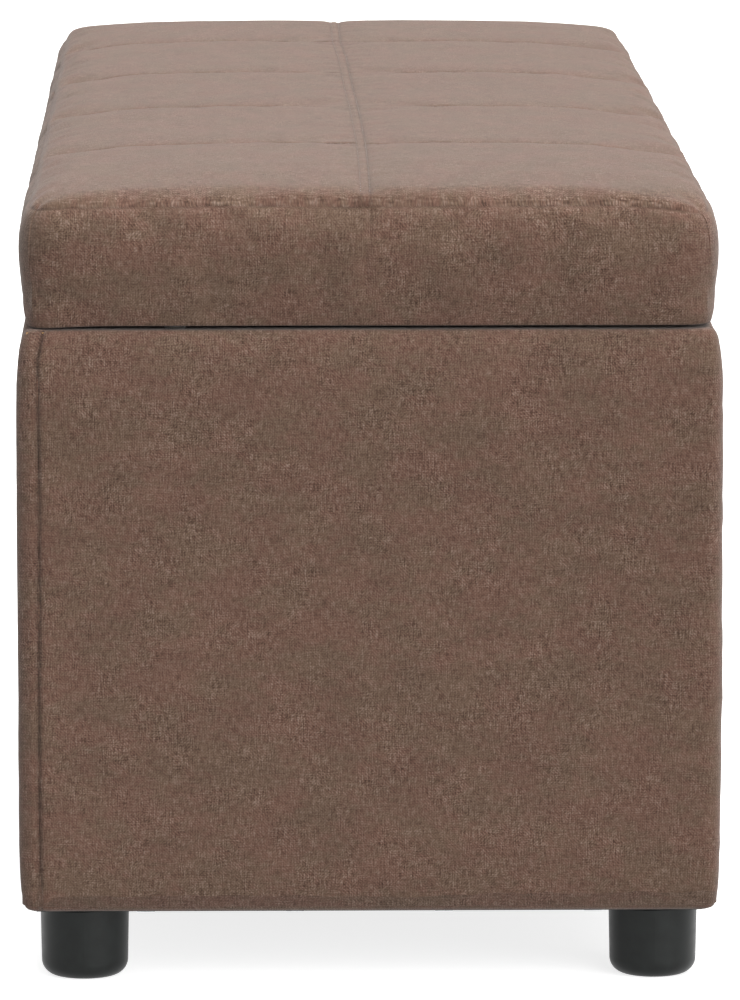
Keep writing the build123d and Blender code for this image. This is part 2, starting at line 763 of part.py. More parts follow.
for name, end in ends.items():
    strut = Plane(
        origin=(end * ball_x, base_ball_y, base_ball_z), x_dir=(1, 0, 0), z_dir=strut_dir
    )
    with BuildPart() as lower_socket:
        add(socket(strut, socket_neck_end, end))
    save(lower_socket, f"strut_lower_socket_{name}")

    with BuildPart() as upper_socket:
        add(socket(strut.offset(strut_shut), -socket_neck_end, end))
    save(upper_socket, f"strut_upper_socket_{name}")

    with BuildPart() as tube:
        with BuildSketch(strut.offset(socket_neck_end)):
            Circle(tube_r)
        extrude(amount=tube_length)
        with BuildSketch(strut.offset(bore_bottom)):
            Circle(bore_r)
        extrude(amount=tube_length, mode=Mode.SUBTRACT)
        with BuildSketch(strut.offset(socket_neck_end - socket_thread)):
            Circle(tube_stub_r)
        extrude(amount=socket_thread)
    save(tube, f"strut_tube_{name}")

    with BuildPart() as gland:
        with BuildSketch(strut.offset(tube_top - gland_t)):
            Circle(bore_r)
        extrude(amount=gland_t)
        with BuildSketch(strut.offset(tube_top)):
            Circle(tube_r)
        extrude(amount=gland_lip)
        with BuildSketch(strut.offset(tube_top - gland_t)):
            Circle(rod_r + rod_play)
        extrude(amount=gland_t + gland_lip, mode=Mode.SUBTRACT)
    save(gland, f"strut_gland_{name}")

    with BuildPart() as rod:
        with BuildSketch(strut.offset(piston_low)):
            Circle(rod_r)
        extrude(amount=strut_shut - socket_neck_end + socket_thread - piston_low)
    save(rod, f"strut_rod_{name}")

    with BuildPart() as piston:
        with BuildSketch(strut.offset(piston_low)):
            Circle(bore_r - piston_play)
            Circle(rod_r, mode=Mode.SUBTRACT)
        extrude(amount=piston_t)
    save(piston, f"strut_piston_{name}")
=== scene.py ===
import bpy, bmesh, math
import numpy as np
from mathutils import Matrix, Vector, noise
from mathutils.bvhtree import BVHTree


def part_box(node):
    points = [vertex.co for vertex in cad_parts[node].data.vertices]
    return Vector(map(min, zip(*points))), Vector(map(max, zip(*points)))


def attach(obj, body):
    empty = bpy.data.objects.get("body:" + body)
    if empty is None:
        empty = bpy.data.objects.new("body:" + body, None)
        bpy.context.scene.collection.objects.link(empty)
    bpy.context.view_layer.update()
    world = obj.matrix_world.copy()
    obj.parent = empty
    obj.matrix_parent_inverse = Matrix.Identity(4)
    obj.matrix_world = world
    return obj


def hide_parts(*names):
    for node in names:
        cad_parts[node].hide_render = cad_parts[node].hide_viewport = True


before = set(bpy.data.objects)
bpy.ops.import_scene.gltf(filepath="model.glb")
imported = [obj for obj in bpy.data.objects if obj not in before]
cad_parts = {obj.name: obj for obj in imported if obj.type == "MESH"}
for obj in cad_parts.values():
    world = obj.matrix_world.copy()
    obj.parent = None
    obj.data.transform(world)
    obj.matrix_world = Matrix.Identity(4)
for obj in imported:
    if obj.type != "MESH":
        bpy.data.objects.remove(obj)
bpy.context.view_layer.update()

# Upholstered storage bench: woven cover, quilted seat on a hinged lid, lined box, round feet.
# Metres, X along the bench, -Y the front, Z up. Sizes in the tables are millimetres unless noted.
mm = 0.001


def hexToLinear(code):
    parts = [int(code[i:i + 2], 16) / 255 for i in (1, 3, 5)]
    return [c / 12.92 if c <= 0.04045 else ((c + 0.055) / 1.055) ** 2.4 for c in parts] + [1.0]


def addNode(tree, kind, inputs=None, **settings):
    # a socket or a node given as an input is linked to it, anything else is set as its value
    node = tree.nodes.new(kind)
    for key, value in settings.items():
        setattr(node, key, value)
    for key, value in (inputs or {}).items():
        if isinstance(value, bpy.types.Node):
            value = value.outputs[0]
        if isinstance(value, bpy.types.NodeSocket):
            tree.links.new(value, node.inputs[key])
        else:
            node.inputs[key].default_value = value
    return node


def newMaterial(name, **shader):
    material = bpy.data.materials.new(name)
    material.use_nodes = True
    bsdf = material.node_tree.nodes["Principled BSDF"]
    for key, value in shader.items():
        bsdf.inputs[key.replace("_", " ")].default_value = value
    return material, material.node_tree, bsdf


# camera
cameraSetup = {
    "place": (5.2384, -0.0800, 0.9416),
    "pitch": 8.091,  # degrees below level
    "yaw": 0.984,  # degrees towards the back edge of the bench
    "lens": 299.54,
}
cam = bpy.data.objects.new("camera", bpy.data.cameras.new("camera"))
bpy.context.scene.collection.objects.link(cam)
cam.data.lens = cameraSetup["lens"]
cam.data.sensor_width = 36
cam.data.clip_end = 100
cam.location = cameraSetup["place"]
cam.rotation_euler = (
    math.radians(90 - cameraSetup["pitch"]), 0, math.radians(90 - cameraSetup["yaw"]))
bpy.context.scene.camera = cam
print("camera set")

# cloth
clothLook = {
    "rose": "#5d4439",  # the redder yarn
    "taupe": "#594639",  # the greener yarn
    "dark": "#38261d",  # the gaps between yarns
    "fleck": "#7c695e",  # pale slubs
    "patch": 24,  # size of the colour patches
    "yarn": 1.0,  # yarn spacing; about half that on the real cloth, drawn this coarse so that it shows
    "slub": 6.0,  # length of the thick stretches of a yarn
    "weaveLow": 0.78, "weaveHigh": 1.22,  # how dark and light the hatch of the weave is
    "sheen": 0.2, "sheenRough": 0.55, "nap": "#f4eeea",  # the pale nap seen along the cloth
    "seamShadow": 0.42,
}


def linenPolyester(name, look):
    # woven polyester with a linen look: dull, mottled in two tones, streaked by thick and thin yarns
    material, tree, bsdf = newMaterial(name, Roughness=0.95, Specular_IOR_Level=0.12)
    bsdf.inputs["Sheen Weight"].default_value = look["sheen"]
    bsdf.inputs["Sheen Roughness"].default_value = look["sheenRough"]
    bsdf.inputs["Sheen Tint"].default_value = hexToLinear(look["nap"])
    uv = addNode(tree, "ShaderNodeUVMap", uv_map="cloth")
    yarn, slub, patch = look["yarn"] * mm, look["slub"] * mm, look["patch"] * mm
    spread = {
        "warp": (yarn * 0.7, slub, 1.5), "weft": (slub * 0.8, yarn * 0.7, 1.5), "grain": (yarn * 0.55, yarn * 0.55, 1),
        "patches": (patch * 1.6, patch, 4), "small": (patch * 0.3, patch * 0.2, 2.5),
        "loose": (patch * 0.7, patch * 0.9, 2),
        "shade": (patch * 1.1, patch * 0.6, 4)}
    cloudy = {}
    for key, (across, along, detail) in spread.items():
        seed = 3.1 + 9.7 * len(cloudy)
        place = addNode(tree, "ShaderNodeMapping", {
            "Vector": uv, "Scale": (1 / across, 1 / along, 1), "Location": (seed, seed * 1.7, seed)})
        cloudy[key] = addNode(tree, "ShaderNodeTexNoise", {
            "Vector": place, "Scale": 1.0, "Detail": detail, "Roughness": 0.55})
    both = addNode(tree, "ShaderNodeMath", {0: cloudy["small"], 1: 0.6, 2: cloudy["patches"]}, operation="MULTIPLY_ADD")
    tone = addNode(tree, "ShaderNodeMapRange", {"Value": both, "From Min": 0.68, "From Max": 0.92})
    loose = addNode(tree, "ShaderNodeMapRange", {
        "Value": cloudy["loose"], "From Min": 0.42, "From Max": 0.66, "To Min": 0.55, "To Max": 0.9})
    colour = addNode(tree, "ShaderNodeMix", {
        0: tone, 6: hexToLinear(look["rose"]), 7: hexToLinear(look["taupe"])}, data_type="RGBA")
    # where a yarn runs thick it stands out pale, where it runs thin the gap shows dark
    warp = addNode(tree, "ShaderNodeMath", {0: cloudy["warp"], 1: 1.15}, operation="MULTIPLY")
    weft = addNode(tree, "ShaderNodeMath", {0: cloudy["weft"], 1: 0.85, 2: warp}, operation="MULTIPLY_ADD")
    threads = addNode(tree, "ShaderNodeMath", {0: cloudy["grain"], 1: 0.6, 2: weft}, operation="MULTIPLY_ADD")
    for code, low, high in ((look["dark"], 1.27, 1.0), (look["fleck"], 1.32, 1.66)):
        share = addNode(tree, "ShaderNodeMapRange", {"Value": threads, "From Min": low, "From Max": high})
        share = addNode(tree, "ShaderNodeMath", {0: share, 1: loose}, operation="MULTIPLY")
        colour = addNode(tree, "ShaderNodeMix", {
            0: share, 6: colour.outputs[2], 7: hexToLinear(code)}, data_type="RGBA")
    # plain weave, one over and one under
    weave = addNode(tree, "ShaderNodeMapping", {"Vector": uv, "Scale": (math.pi / yarn,) * 3})
    axes = addNode(tree, "ShaderNodeSeparateXYZ", {0: weave})
    sines = []
    for way in ("ADD", "SUBTRACT"):
        diagonal = addNode(tree, "ShaderNodeMath", {0: axes.outputs[0], 1: axes.outputs[1]}, operation=way)
        sines.append(addNode(tree, "ShaderNodeMath", {0: diagonal}, operation="SINE"))
    lean = addNode(tree, "ShaderNodeMapRange", {"Value": cloudy["small"], "From Min": 0.4, "From Max": 0.6})
    over = addNode(tree, "ShaderNodeMix", {0: lean, 2: sines[0], 3: sines[1]})
    over = addNode(tree, "ShaderNodeMath", {0: over, 1: loose}, operation="MULTIPLY")
    relief = addNode(tree, "ShaderNodeMapRange", {
        "Value": over, "From Min": -1.0, "From Max": 1.0, "To Min": look["weaveLow"], "To Max": look["weaveHigh"]})
    # painted shade: the seam attribute darkens the base colour where the seams and the hem sink, as shadow held in the
    # grooves
    seam = addNode(tree, "ShaderNodeAttribute", attribute_name="seam")
    shadow = addNode(tree, "ShaderNodeMapRange", {
        "Value": seam.outputs["Fac"], "To Min": 1.0, "To Max": look["seamShadow"]})
    level = addNode(tree, "ShaderNodeMath", {0: relief, 1: shadow}, operation="MULTIPLY")
    broad = addNode(tree, "ShaderNodeMapRange", {
        "Value": cloudy["shade"], "From Min": 0.3, "From Max": 0.7, "To Min": 0.91, "To Max": 1.08})
    level = addNode(tree, "ShaderNodeMath", {0: level, 1: broad}, operation="MULTIPLY")
    final = addNode(tree, "ShaderNodeVectorMath", {0: colour.outputs[2], 1: level}, operation="MULTIPLY")
    tree.links.new(final.outputs[0], bsdf.inputs["Base Color"])
    height = addNode(tree, "ShaderNodeMath", {0: over, 1: 0.3, 2: threads}, operation="MULTIPLY_ADD")
    bump = addNode(tree, "ShaderNodeBump", {"Strength": 0.5, "Distance": 0.3 * mm, "Height": height})
    tree.links.new(bump.outputs[0], bsdf.inputs["Normal"])
    return material


coverCloth = linenPolyester("linen look polyester", clothLook)
print("cover cloth ready")


def interpolate(table, at):
    xs = [row[0] for row in table]
    ys = [row[1] for row in table]
    return np.interp(at, xs, ys)


def ripple(a, b, size, seed):
    return noise.noise(Vector((a / (size * mm), b / (size * mm), seed)))


def bump1(distance, width):
    return math.exp(-(distance / (width * mm)) ** 2)


def makeObject(name, points, faces, uvs=None, seamShade=None, smooth=True):
    mesh = bpy.data.meshes.new(name)
    mesh.from_pydata([tuple(p) for p in points], [], faces)
    if uvs is not None:
        layer = mesh.uv_layers.new(name="cloth")
        flat = np.array([c for face in uvs for corner in face for c in corner], dtype=np.float32)
        layer.data.foreach_set("uv", flat)
    # the seam attribute carries painted seam shade, which the cloth material reads
    if seamShade is not None:
        attribute = mesh.attributes.new("seam", "FLOAT", "POINT")
        attribute.data.foreach_set("value", np.array(seamShade, dtype=np.float32))
    mesh.polygons.foreach_set("use_smooth", [smooth] * len(mesh.polygons))
    mesh.update()
    piece = bpy.data.objects.new(name, mesh)
    bpy.context.scene.collection.objects.link(piece)
    return piece


def steps(low, high, size, marks=(), around=(), clear=0.6):
    # even steps from low to high, with closer lines round each mark
    count = max(1, round((high - low) / size))
    even = [low + i * (high - low) / count for i in range(count + 1)]
    close = sorted({round(m + a, 7) for m in marks for a in around if low < m + a < high})
    kept = [e for e in even if all(abs(e - c) > clear * size for c in close) or e in (even[0], even[-1])]
    return sorted(kept + [c for c in close if c - low > 0.2 * mm and high - c > 0.2 * mm])


# box cover
boxCover = {
    "halfX": 580, "halfY": 200, "corner": 9,
    "step": 6.5,
    "seamFromCorner": 12.4,  # the sewn seam stands this far round from each corner
    "seamDepth": 1.3, "pucker": 0.5,
    # level and how far in from the widest line, from the rim down
    "side": [(375.5, 7.4), (375.2, 6.0), (374.3, 4.9), (372.8, 4.0), (370.5, 3.1), (367.0, 2.3), (362.0, 1.5),
             (356.0, 0.95), (345.0, 0.4), (328.0, 0.1), (300.0, 0.0), (200.0, 0.0), (140.0, 0.3), (80.0, 0.6),
             (62.0, 1.0), (52.0, 1.7), (47.0, 2.5), (44.2, 3.7), (42.6, 5.4), (41.9, 7.6)],
    "hem": 46.3, "hemDepth": 0.5,
    "hingeDip": 371.1,
    "hingeX": (-400, 0, 400), "hingeHalf": 37.6,
    "slackCorner": (0.577, -0.197), "slack": 1.3,  # the rim sinks a little at this corner
}


def ringPlace(halfX, halfY, corner, station, inset):
    kind, side, t = station
    r = max(corner - inset, 3 * mm)
    cx, cy = halfX - inset - r, halfY - inset - r
    if kind == "side":
        return [(t * cx, -(cy + r)), (cx + r, t * cy), (-t * cx, cy + r), (-(cx + r), -t * cy)][side]
    sx, sy = [(1, -1), (1, 1), (-1, 1), (-1, -1)][side]
    angle = math.radians(-90 + 90 * side + 90 * t)
    return sx * cx + r * math.cos(angle), sy * cy + r * math.sin(angle)


def ringStations(halfX, halfY, corner, step, marksFor, around, cornerSteps=7):
    # going round anticlockwise from the front left: (kind, side, place) and the distance run
    stations, run = [], 0.0
    for side in range(4):
        half = (halfX if side % 2 == 0 else halfY) - corner
        for p in steps(-half, half, step, marksFor(side, half), around):
            stations.append((("side", side, p / half), run + p + half))
        run += 2 * half
        for k in range(1, cornerSteps):
            stations.append((("corner", side, k / cornerSteps), run + corner * math.pi / 2 * k / cornerSteps))
        run += corner * math.pi / 2
    return stations, run


def makeBoxCover(c):
    halfX, halfY, corner = c["halfX"] * mm, c["halfY"] * mm, c["corner"] * mm
    hinges = [x * mm for x in c["hingeX"]]

    def marksFor(side, half):
        seam = -half + (c["seamFromCorner"] - c["corner"]) * mm
        edges = [-x + e * c["hingeHalf"] * mm for x in hinges for e in (-1, 1)] if side == 2 else []
        return [seam] + edges

    stations, total = ringStations(halfX, halfY, corner, c["step"] * mm, marksFor,
                                   (-0.9 * mm, 0, 0.9 * mm, 2.2 * mm, 4.5 * mm))
    seamRuns = []
    run = 0.0
    for side in range(4):
        seamRuns.append(run + (c["seamFromCorner"] - c["corner"]) * mm)
        run += 2 * ((halfX if side % 2 == 0 else halfY) - corner) + corner * math.pi / 2
    levels = steps(47.6 * mm, 370.5 * mm, 6.5 * mm)
    path = [(23.2, 345.5), (23.2, 352.5), (23.2, 362.5), (23.2, 372.5), (22.9, 374.9), (22.0, 375.5), (18.0, 375.65),
            (13.0, 375.7), (9.0, 375.6)]
    path += [(i, z) for z, i in c["side"] if z >= 372.5]
    path += [(None, z / mm) for z in reversed(levels)]
    path += [(None, z) for z in (47.0, 46.6, 46.3, 46.0, 45.4, 44.2, 42.9)]
    path += [(7.6, 41.85), (12.0, 41.8), (20.0, 41.8), (30.0, 41.8), (30.0, 42.95), (6.2, 42.95), (1.9, 46.0),
             (1.3, 120.0), (1.3, 347.0), (5.9, 373.5), (7.2, 374.35), (21.9, 374.35), (22.02, 372.5), (22.02, 345.5)]
    outerEnd = len(path) - 11
    sideTable = sorted(c["side"])
    points, seamShade = [], []
    for (station, run) in stations:
        for k, (inset, z) in enumerate(path):
            free = inset is None
            if free:
                inset = float(interpolate(sideTable, z))
            out, shade = 0.0, 0.0
            if k < outerEnd and z < 375.4 and inset < 9:
                lift = min(1.0, max(0.0, (374.5 - z) / 30), max(0.0, (z - 41) / 25) + 0.15)
                out += lift * (0.55 * ripple(run, z * mm, 90, 1.3) + 0.28 * ripple(run, z * mm, 31, 4.1))
                out += 0.16 * ripple(run, z * mm, 11, 8.8)
                for seamRun in seamRuns:
                    away = abs(run - seamRun)
                    away = min(away, total - away)
                    if away < 40 * mm:
                        out -= c["seamDepth"] * bump1(away, 1.0)
                        out += 0.45 * bump1(away - 3.2 * mm, 2.0)
                        out += c["pucker"] * ripple(seamRun, z * mm, 9, 6.6) * bump1(away, 9)
                        # painted shade along the seam groove, kept in the seam attribute
                        shade = max(shade, bump1(away, 0.9))
                hemAway = abs(z - c["hem"]) * mm
                out -= c["hemDepth"] * bump1(hemAway, 0.5)
                # painted shade along the hem groove
                shade = max(shade, 0.55 * bump1(hemAway, 0.5))
            shift = 0.0
            for seamRun in seamRuns:
                away = min(abs(run - seamRun), total - abs(run - seamRun))
                if away < 30 * mm and k < outerEnd:
                    # the seam isn't quite straight, and leans over at the rim
                    shift += bump1(away, 9) * mm * (
                        0.7 * ripple(seamRun, z * mm, 60, 3.9) + 0.3 * ripple(seamRun, z * mm, 17, 7.9)
                        + 3.0 * min(1.0, max(0.0, (z - 358) / 16)))
            if station[0] == "side" and shift:
                half = (halfX if station[1] % 2 == 0 else halfY) - corner
                moved = ("side", station[1], station[2] + shift / half)
            else:
                moved = station
            x, y = ringPlace(halfX, halfY, corner, moved, (inset - out) * mm)
            level = z
            if k < outerEnd and y > halfY - 22.5 * mm and z > c["hingeDip"]:
                for hinge in hinges:
                    if abs(x - hinge) < c["hingeHalf"] * mm:
                        level = c["hingeDip"]
            if station[0] == "side" and 373 < z and inset > 8 and inset < 22 and k < outerEnd and level > 372.5:
                level += 0.25 * ripple(run, 0.0, 40, 2.2)
            if k < outerEnd and z > 366 and inset < 9:
                away = math.hypot(x - c["slackCorner"][0], y - c["slackCorner"][1])
                level -= c["slack"] * bump1(away, 28) * (9 - inset) / 6
            points.append((x, y, level * mm))
            seamShade.append(shade)
    rows, cols = len(stations), len(path)
    pathRun = [0.0]
    for a, b in zip(path, path[1:] + path[:1]):
        ia = a[0] if a[0] is not None else float(interpolate(sideTable, a[1]))
        ib = b[0] if b[0] is not None else float(interpolate(sideTable, b[1]))
        pathRun.append(pathRun[-1] + math.hypot(ia - ib, a[1] - b[1]) * mm)
    faces, uvs = [], []
    for i in range(rows):
        j2 = (i + 1) % rows
        ua, ub = stations[i][1], stations[i + 1][1] if i + 1 < rows else total
        for k in range(cols):
            k2 = (k + 1) % cols
            faces.append((i * cols + k, i * cols + k2, j2 * cols + k2, j2 * cols + k))
            va, vb = -pathRun[k], -pathRun[k + 1]
            uvs.append(((ua, va), (ua, vb), (ub, vb), (ub, va)))
    return makeObject("boxCover", points, faces, uvs, seamShade)


boxCoverPiece = makeBoxCover(boxCover)
boxCoverPiece.data.materials.append(coverCloth)
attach(boxCoverPiece, "base")
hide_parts("base_cover", "base_wadding")
print("box cover made", len(boxCoverPiece.data.polygons))

# seat
seat = {
    "halfX": 572.0, "halfY": 191.9, "corner": 14,  # to the boxing seam
    "seamLevel": 445.0, "crown": 14.6,
    "step": 7.5,
    "crossSeams": (-348, -116, 116, 348),
    # how far in from the edge, and the share of the crown reached there
    "rise": [(0, 0.0), (0.4, 0.18), (1.1, 0.33), (2.4, 0.44), (5, 0.51), (9.8, 0.57), (16, 0.64), (28, 0.74),
             (60, 0.90), (100, 0.98), (140, 1.0)],
    # level and how far out from the boxing seam, from the bottom edge up
    "side": [(377.6, 1.0), (378.0, 2.0), (379.5, 2.8), (383.0, 3.3), (389.0, 3.8), (400.0, 4.2), (411.0, 5.1),
             (422.0, 5.5), (430.0, 5.0), (436.0, 4.1), (440.5, 2.8), (443.3, 1.3), (445.0, 0.0)],
    "wander": [(-580, -5.6), (-348, -6.7), (-230, -4.6), (-116, -4.0), (0, -3.4), (116, -2.2), (348, -1.4),
               (580, -2.5)],
    "pressure": 4.0, "frames": 20,
    "cap": 2.4,  # the most that the cloth may move while it swells
    "quiet": 0.5,  # share of that movement kept away from the edges
    "hingeX": (-400, 0, 400), "hingeHalf": 37.6, "hingeLift": 381.1, "hingeFrom": 176,
    "bottom": 377.6,
}


def roundCorner(x, y, halfX, halfY, corner, out=0.0):
    # a point of the rectangle moved so that its corner squares become quarter discs
    p, q = abs(x) - (halfX - corner), abs(y) - (halfY - corner)
    sx, sy = math.copysign(1, x), math.copysign(1, y)
    if p > 0 and q > 0:
        scale = max(p, q) / math.hypot(p, q)
        nx, ny = p / math.hypot(p, q), q / math.hypot(p, q)
        return (sx * (halfX - corner + p * scale + nx * out), sy * (halfY - corner + q * scale + ny * out))
    if halfX - abs(x) < halfY - abs(y):
        return x + sx * out, y
    return x, y + sy * out


def makeSeat(c):
    halfX, halfY, corner = c["halfX"] * mm, c["halfY"] * mm, c["corner"] * mm
    close = (-5 * mm, -2.4 * mm, -1.1 * mm, 0, 1.1 * mm, 2.4 * mm, 5 * mm)
    edge = (0.4 * mm, 1.1 * mm, 2.4 * mm, 5 * mm, 9.8 * mm)
    xs = steps(-halfX, halfX, c["step"] * mm, [x * mm for x in c["crossSeams"]], close)
    xs = sorted([x for x in xs if abs(x) < halfX - 12 * mm] + [s * (halfX - e) for e in (0,) + edge for s in (-1, 1)])
    nearMiddle = (-8 * mm, -5 * mm, -2.6 * mm, -1.3 * mm, 0, 1.3 * mm, 2.6 * mm, 5 * mm, 8 * mm)
    ys = steps(-halfY, halfY, c["step"] * mm, [0.0], nearMiddle)
    ys = sorted([y for y in ys if abs(y) < halfY - 12 * mm] + [s * (halfY - e) for e in (0,) + edge for s in (-1, 1)])
    nx, ny = len(xs), len(ys)
    seamLines = [x * mm for x in c["crossSeams"]]

    def overHinge(x, y):
        return y > c["hingeFrom"] * mm and any(abs(x - h * mm) < c["hingeHalf"] * mm for h in c["hingeX"])

    def seamLevel(x, y):
        # the boxing seam wanders a little and is pulled down round each corner
        along = math.hypot(halfX - abs(x), halfY - abs(y))
        pull = 4.2 if x < 0 or y > 0 else 1.6
        level = c["seamLevel"] + 0.7 * ripple(x, y, 55, 3.3) + 0.35 * ripple(x, y, 17, 5.3)
        return level - pull * bump1(along, 26)

    def topPoint(x, y):
        dx, dy = (halfX - abs(x)) / mm, (halfY - abs(y)) / mm
        rise = float(interpolate(c["rise"], dx)) * float(interpolate(c["rise"], dy))
        middle = 1 - min(1.0, abs(y) / halfY) ** 4
        fall, pin, shade = 0.0, 0.0, 0.0
        for line in seamLines:
            away = x - line - 1.2 * mm * ripple(y, line, 60, 2.7)
            fade = min(1.0, dy / 38)
            edgeTight = bump1(dy * mm, 30)
            fall += (0.3 + 4.2 * edgeTight) * bump1(away, 24 - 6 * edgeTight)
            fall += 0.7 * fade * bump1(away, 1.9)
            pin = max(pin, (0.35 + 0.65 * fade) * bump1(away, 1.2))
            # painted shade along each cross seam channel, for the seam attribute
            shade = max(shade, fade * (0.65 + 0.5 * ripple(x, y, 14, 9.1)) * bump1(away, 0.9))
        wander = float(interpolate(c["wander"], x / mm)) * mm * middle
        away = y  # grid lines are moved with the seam below
        fall += 0.15 * bump1(away, 20) + 0.7 * bump1(away - 2.6 * mm, 1.1) + 0.3 * bump1(away + 2.6 * mm, 1.3)
        fall -= 0.5 * bump1(away, 1.6)
        pin = max(pin, bump1(abs(away) - 2.6 * mm, 1.0))
        # painted shade along the two rows of the centre seam, darker on the +Y row
        shade = max(shade, 0.5 * bump1(away - 2.6 * mm, 0.8), 0.15 * bump1(away + 2.6 * mm, 0.9))
        px, py = roundCorner(x, y, halfX, halfY, corner)
        base = seamLevel(x, y)
        z = base + (c["seamLevel"] + c["crown"] - base) * rise - fall * min(1.0, rise * 1.3)
        z += (0.5 * ripple(x, y, 48, 7.1) + 0.3 * ripple(x, y, 19, 3.6)) * rise
        return (px, py + wander, z * mm), pin, shade

    points, pins, shades = [], [], []
    for x in xs:
        for y in ys:
            p, pin, shade = topPoint(x, y)
            onEdge = abs(x) == xs[-1] or abs(y) == ys[-1]
            points.append(p)
            pins.append(0.55 if onEdge else pin)
            # painted shade along the boxing seam at the top edge, uneven along its length
            shades.append(max(0.0, 0.3 + 0.6 * ripple(x, y, 22, 1.9)) if onEdge else shade)
    border = [(i, 0) for i in range(nx - 1)] + [(nx - 1, j) for j in range(ny - 1)]
    border += [(i, ny - 1) for i in range(nx - 1, 0, -1)] + [(0, j) for j in range(ny - 1, 0, -1)]
    loop = [i * ny + j for i, j in border]
    run, runs = 0.0, []
    for k in range(len(loop)):
        runs.append(run)
        a, b = points[loop[k]], points[loop[(k + 1) % len(loop)]]
        run += math.hypot(a[0] - b[0], a[1] - b[1])
    faces, uvs = [], []
    for i in range(nx - 1):
        for j in range(ny - 1):
            a, b = i * ny + j, (i + 1) * ny + j
            faces.append((a, b, b + 1, a + 1))
            uvs.append(((xs[i], ys[j]), (xs[i + 1], ys[j]), (xs[i + 1], ys[j + 1]), (xs[i], ys[j + 1])))
    levels = [444.2, 443.0, 440.5, 436.0, 430.0, 423.0, 415.5, 408.0, 400.5, 392.5, 385.5, 381.0, 378.9, 377.9, 377.6]
    sideTable = sorted(c["side"])
    rings = [loop]
    for z in levels:
        ring = []
        for k, (i, j) in enumerate(border):
            x, y = xs[i], ys[j]
            out = float(interpolate(sideTable, z))
            share = max(0.0, (z - 400) / 45)
            if abs(y) == ys[-1]:
                # the pads swell between the cross seams
                valley = sum(bump1(x - line, 24) for line in seamLines)
                out += share * (0.7 - 4.2 * valley)
            out += 0.5 * ripple(runs[k], z * mm, 70, 2.9) + 0.3 * ripple(runs[k], z * mm, 24, 6.4)
            if z > 442:
                out -= 0.6 * bump1((z - 444.2) * mm, 0.8)
            px, py = roundCorner(x, y, halfX, halfY, corner, out * mm)
            level = z + (seamLevel(x, y) - c["seamLevel"]) * max(0.0, (z - 420) / 25)
            if z < c["hingeLift"] and overHinge(px, py):
                level = c["hingeLift"]
            droop = 1.9 * bump1(math.hypot(px - 0.578, py + 0.196), 26) if z < 386 else 0.0
            ring.append(len(points))
            points.append((px, py, (level - droop) * mm))
            pins.append(1.0 if z < 382 else 0.12)
            shades.append(0.0)
        rings.append(ring)
    clothCount = len(points)
    for a, b in zip(rings, rings[1:]):
        za, zb = 445.0 if a is loop else points[a[0]][2] / mm, points[b[0]][2] / mm
        for k in range(len(loop)):
            n = (k + 1) % len(loop)
            faces.append((a[k], b[k], b[n], a[n]))
            ua, ub = runs[k] + 3, (runs[n] if n else run) + 3
            uvs.append(((ua, za * mm), (ua, zb * mm), (ub, zb * mm), (ub, za * mm)))
    clothFaces = len(faces)
    for inset in (6, 12, 30, 62):
        ring = []
        for i, j in border:
            px, py = roundCorner(xs[i], ys[j], halfX, halfY, corner)
            scaleX = (halfX - inset * mm) / halfX
            scaleY = (halfY - inset * mm) / halfY
            level = c["hingeLift"] if overHinge(px, py * scaleY) else c["bottom"]
            ring.append(len(points))
            points.append((px * scaleX, py * scaleY, level * mm))
            pins.append(1.0)
            shades.append(0.0)
        previous = rings[-1]
        for k in range(len(loop)):
            n = (k + 1) % len(loop)
            faces.append((previous[k], ring[k], ring[n], previous[n]))
            ua, ub = runs[k] + 3, (runs[n] if n else run) + 3
            va, vb = 0.3776 - (inset - 6) * mm, 0.3776 - inset * mm
            uvs.append(((ua, va), (ua, vb), (ub, vb), (ub, va)))
        rings.append(ring)

    start = np.array(points)
    blank = makeObject("seatBlank", points[:clothCount], faces[:clothFaces])
    group = blank.vertex_groups.new(name="sewn")
    for index, weight in enumerate(pins[:clothCount]):
        group.add([index], float(min(1.0, max(0.0, weight))), "REPLACE")
    cloth = blank.modifiers.new("cloth", "CLOTH")
    s = cloth.settings
    s.quality = 5
    s.mass = 0.3
    s.tension_stiffness = s.compression_stiffness = 18
    s.shear_stiffness = 8
    s.bending_stiffness = 0.8
    s.use_pressure = True
    s.uniform_pressure_force = c["pressure"]
    s.shrink_min = -0.012
    s.vertex_group_mass = "sewn"
    s.pin_stiffness = 1.0
    s.effector_weights.gravity = 0
    cloth.collision_settings.use_collision = False
    cloth.collision_settings.use_self_collision = False
    cloth.point_cache.frame_start, cloth.point_cache.frame_end = 1, c["frames"]
    scene = bpy.context.scene
    for f in range(1, c["frames"] + 1):
        scene.frame_set(f)
    settled = blank.evaluated_get(bpy.context.evaluated_depsgraph_get())
    flat = np.empty(clothCount * 3)
    settled.data.vertices.foreach_get("co", flat)
    moved = flat.reshape(-1, 3) - start[:clothCount]
    size = np.linalg.norm(moved, axis=1)
    print("seat swelled by", round(float(size.mean()) / mm, 2), "mm,", round(float(size.max()) / mm, 2), "at most")
    limit = c["cap"] * mm
    moved *= (limit * np.tanh(size / limit) / np.maximum(size, 1e-9))[:, None]
    # the quilting holds the middle of the top down
    inside = np.minimum(halfX - np.abs(start[:clothCount, 0]), halfY - np.abs(start[:clothCount, 1])) / (26 * mm)
    moved *= (1 - (1 - c["quiet"]) * np.clip(inside, 0, 1))[:, None]
    start[:clothCount] += moved
    scene.frame_set(1)
    bpy.data.objects.remove(blank)
    piece = makeObject("seatCover", start, faces, uvs, shades)
    smooth = piece.modifiers.new("smooth", "SUBSURF")
    smooth.levels = smooth.render_levels = 1
    finished = bpy.data.meshes.new_from_object(piece.evaluated_get(bpy.context.evaluated_depsgraph_get()))
    piece.modifiers.clear()
